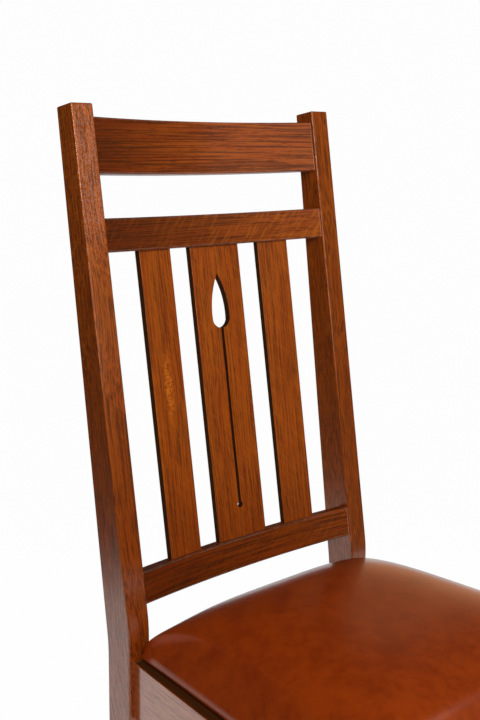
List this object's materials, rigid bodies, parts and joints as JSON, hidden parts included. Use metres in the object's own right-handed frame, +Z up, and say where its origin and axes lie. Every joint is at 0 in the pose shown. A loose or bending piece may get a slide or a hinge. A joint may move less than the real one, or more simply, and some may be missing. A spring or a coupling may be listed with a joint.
{
  "type": "dining chair",
  "caption": "Mission dining chair in stained oak: raked back of bowed rails and flat slats with a bud and stem cut-out, splayed seat frame and domed leather slip seat.",
  "frame": {"origin": "on the floor, under the middle of the chair's box", "axes": "+X to the viewer's right facing the chair, the seat faces -Y, +Z up"},
  "size_m": [0.4994, 0.5708, 1.066],
  "materials": {
    "stained_oak": "reddish-brown stained oak under satin lacquer",
    "raw_hardwood": "planed, unfinished",
    "zinc_steel": "zinc plated",
    "plywood": "unfinished",
    "seat_foam": "open-cell foam",
    "rust_leather": "rust-brown, lightly mottled, satin",
    "black_cambric": "matt black cloth",
    "nylon": "dark moulded nylon"
  },
  "bodies": {
    "root": {"left_back_post": "stained_oak", "right_back_post": "stained_oak", "left_front_leg": "stained_oak", "right_front_leg": "stained_oak", "crest_rail": "stained_oak", "upper_back_rail": "stained_oak", "lower_back_rail": "stained_oak", "left_slat": "stained_oak", "right_slat": "stained_oak", "center_slat": "stained_oak", "rear_seat_rail": "stained_oak", "front_seat_rail": "stained_oak", "left_seat_rail": "stained_oak", "right_seat_rail": "stained_oak", "front_stretcher": "stained_oak", "rear_stretcher": "stained_oak", "left_side_stretcher": "stained_oak", "right_side_stretcher": "stained_oak", "rear_left_corner_block": "raw_hardwood", "rear_right_corner_block": "raw_hardwood", "front_left_corner_block": "raw_hardwood", "front_right_corner_block": "raw_hardwood", "seat_screws": "zinc_steel", "seat_board": "plywood", "seat_foam": "seat_foam", "seat_leather": "rust_leather", "dust_cover": "black_cambric", "floor_glides": "nylon"}
  },
  "joints": []
}
